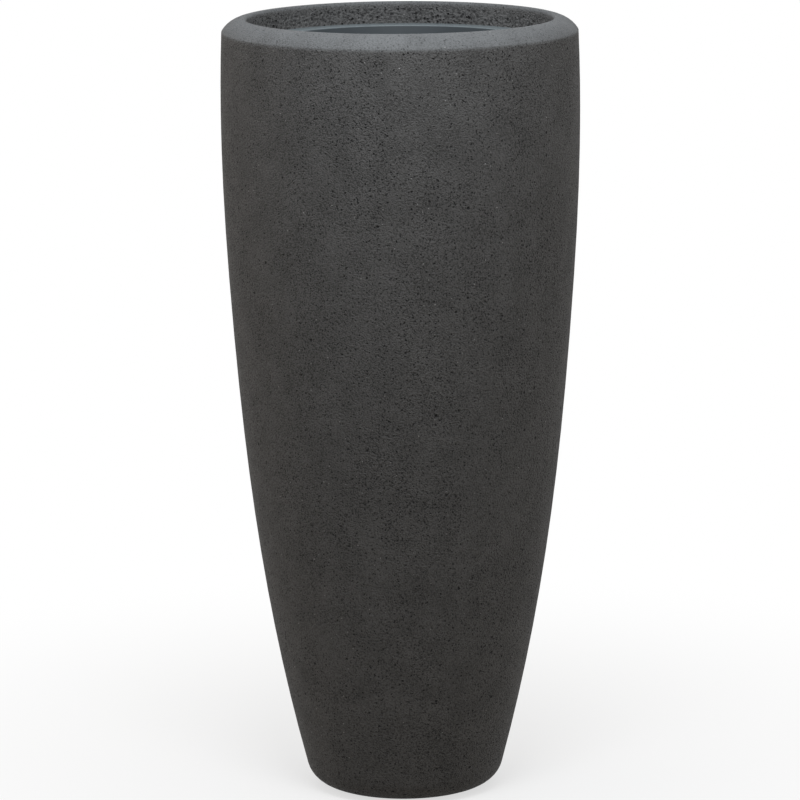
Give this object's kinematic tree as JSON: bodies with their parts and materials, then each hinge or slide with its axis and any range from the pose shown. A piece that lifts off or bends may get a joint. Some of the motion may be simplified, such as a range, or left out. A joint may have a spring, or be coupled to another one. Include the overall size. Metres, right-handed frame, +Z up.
{
  "type": "tall round planter",
  "caption": "Tall round tapered planter with a thick crowned rim, stone-effect glass-fibre shell and a lift-out liner with a ribbed floor, hand slots and a drain plug.",
  "frame": {"origin": "centre of the foot on the floor that the pads stand on", "axes": "+Z up along the planter's axis; the hand slots lie on -X and +X; -Y is the pictured front"},
  "size_m": [0.4568, 0.4566, 1],
  "materials": {
    "stone_effect_shell": "matt pitted stone effect over glass-fibre laminate",
    "stone_effect_collar": "matt, coarsely pitted stone effect",
    "liner_plastic": "smooth satin moulded plastic",
    "plug_rubber": "matt moulded rubber",
    "pad_rubber": "matt moulded rubber",
    "cast_ballast": "rough cast concrete"
  },
  "bodies": {
    "planter": {"outer_shell": "stone_effect_shell", "mouth_collar": "stone_effect_collar", "ballast": "cast_ballast", "foot_pad_1": "pad_rubber", "foot_pad_2": "pad_rubber", "foot_pad_3": "pad_rubber", "foot_pad_4": "pad_rubber"},
    "liner": {"liner": "liner_plastic"},
    "liner_plug": {"liner_plug": "plug_rubber"},
    "base_plug": {"base_plug": "plug_rubber"}
  },
  "joints": [
    {"name": "liner_lift", "type": "slide", "parent": "planter", "child": "liner", "axis": [0, 0, 1], "range_m": [0, 0.4]},
    {"name": "liner_plug_pull", "type": "slide", "parent": "liner", "child": "liner_plug", "axis": [0, 0, 1], "range_m": [0, 0.06]},
    {"name": "base_plug_pull", "type": "slide", "parent": "planter", "child": "base_plug", "axis": [0, 0, 1], "range_m": [0, 0.06]}
  ]
}
